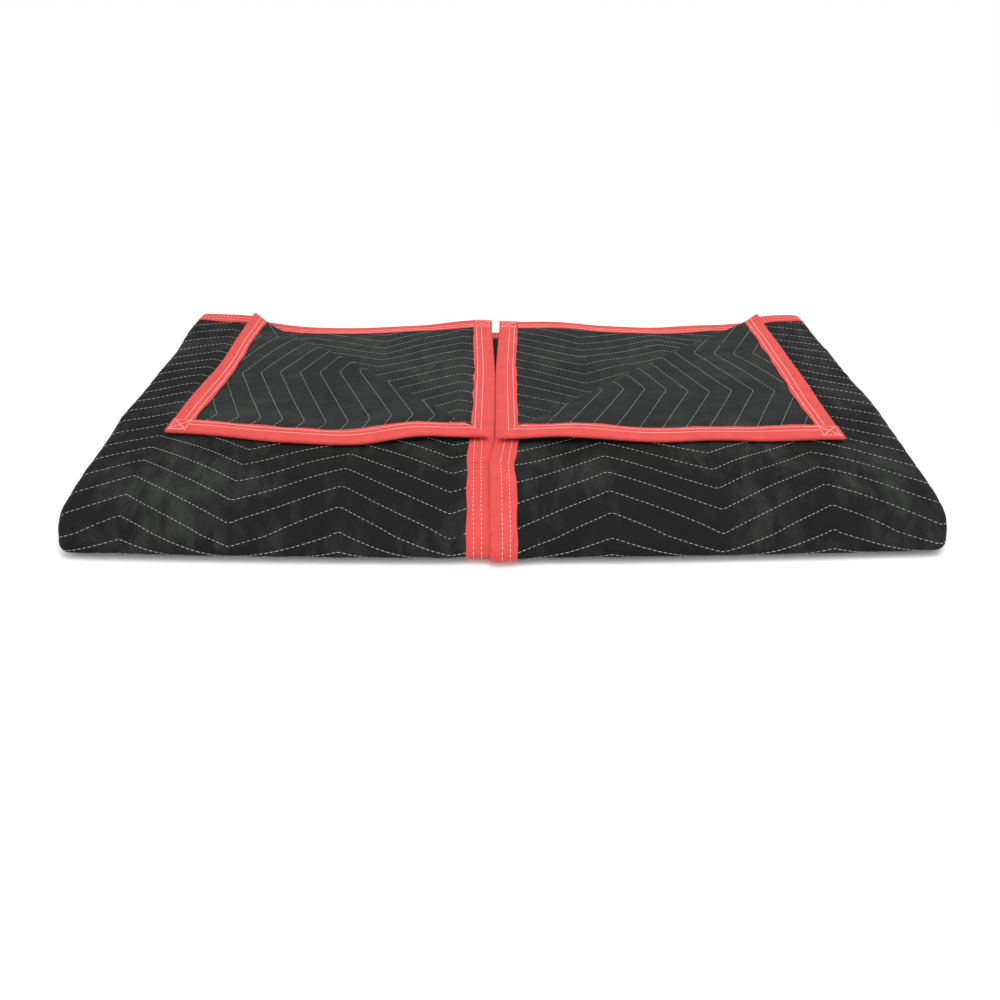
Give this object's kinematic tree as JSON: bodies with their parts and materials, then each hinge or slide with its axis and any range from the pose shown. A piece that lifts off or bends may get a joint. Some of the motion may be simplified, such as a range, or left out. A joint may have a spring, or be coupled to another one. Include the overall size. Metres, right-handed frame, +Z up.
{
  "type": "folded moving pad",
  "caption": "Quilted moving pad with bound edges, folded flat with its top corners turned back, used to wrap and protect furniture.",
  "frame": {"origin": "centre of the folded pad's footprint, on the surface that it rests on", "axes": "+Z up, +X to the right, -Y towards the fold at the front, +Y towards the bound ends at the back"},
  "size_m": [0.8874, 0.5166, 0.0697],
  "materials": {
    "pad_cloth": "black nonwoven cover cloth, quilted in light grey zigzag lines, matt with a faint sheen",
    "binding_tape": "coral red woven tape, matt, with two rows of light pink stitching"
  },
  "bodies": {
    "root": {"quilted_pad": "pad_cloth", "binding_left_side": "binding_tape", "binding_right_side": "binding_tape", "binding_first_end": "binding_tape", "binding_second_end": "binding_tape"}
  },
  "joints": []
}
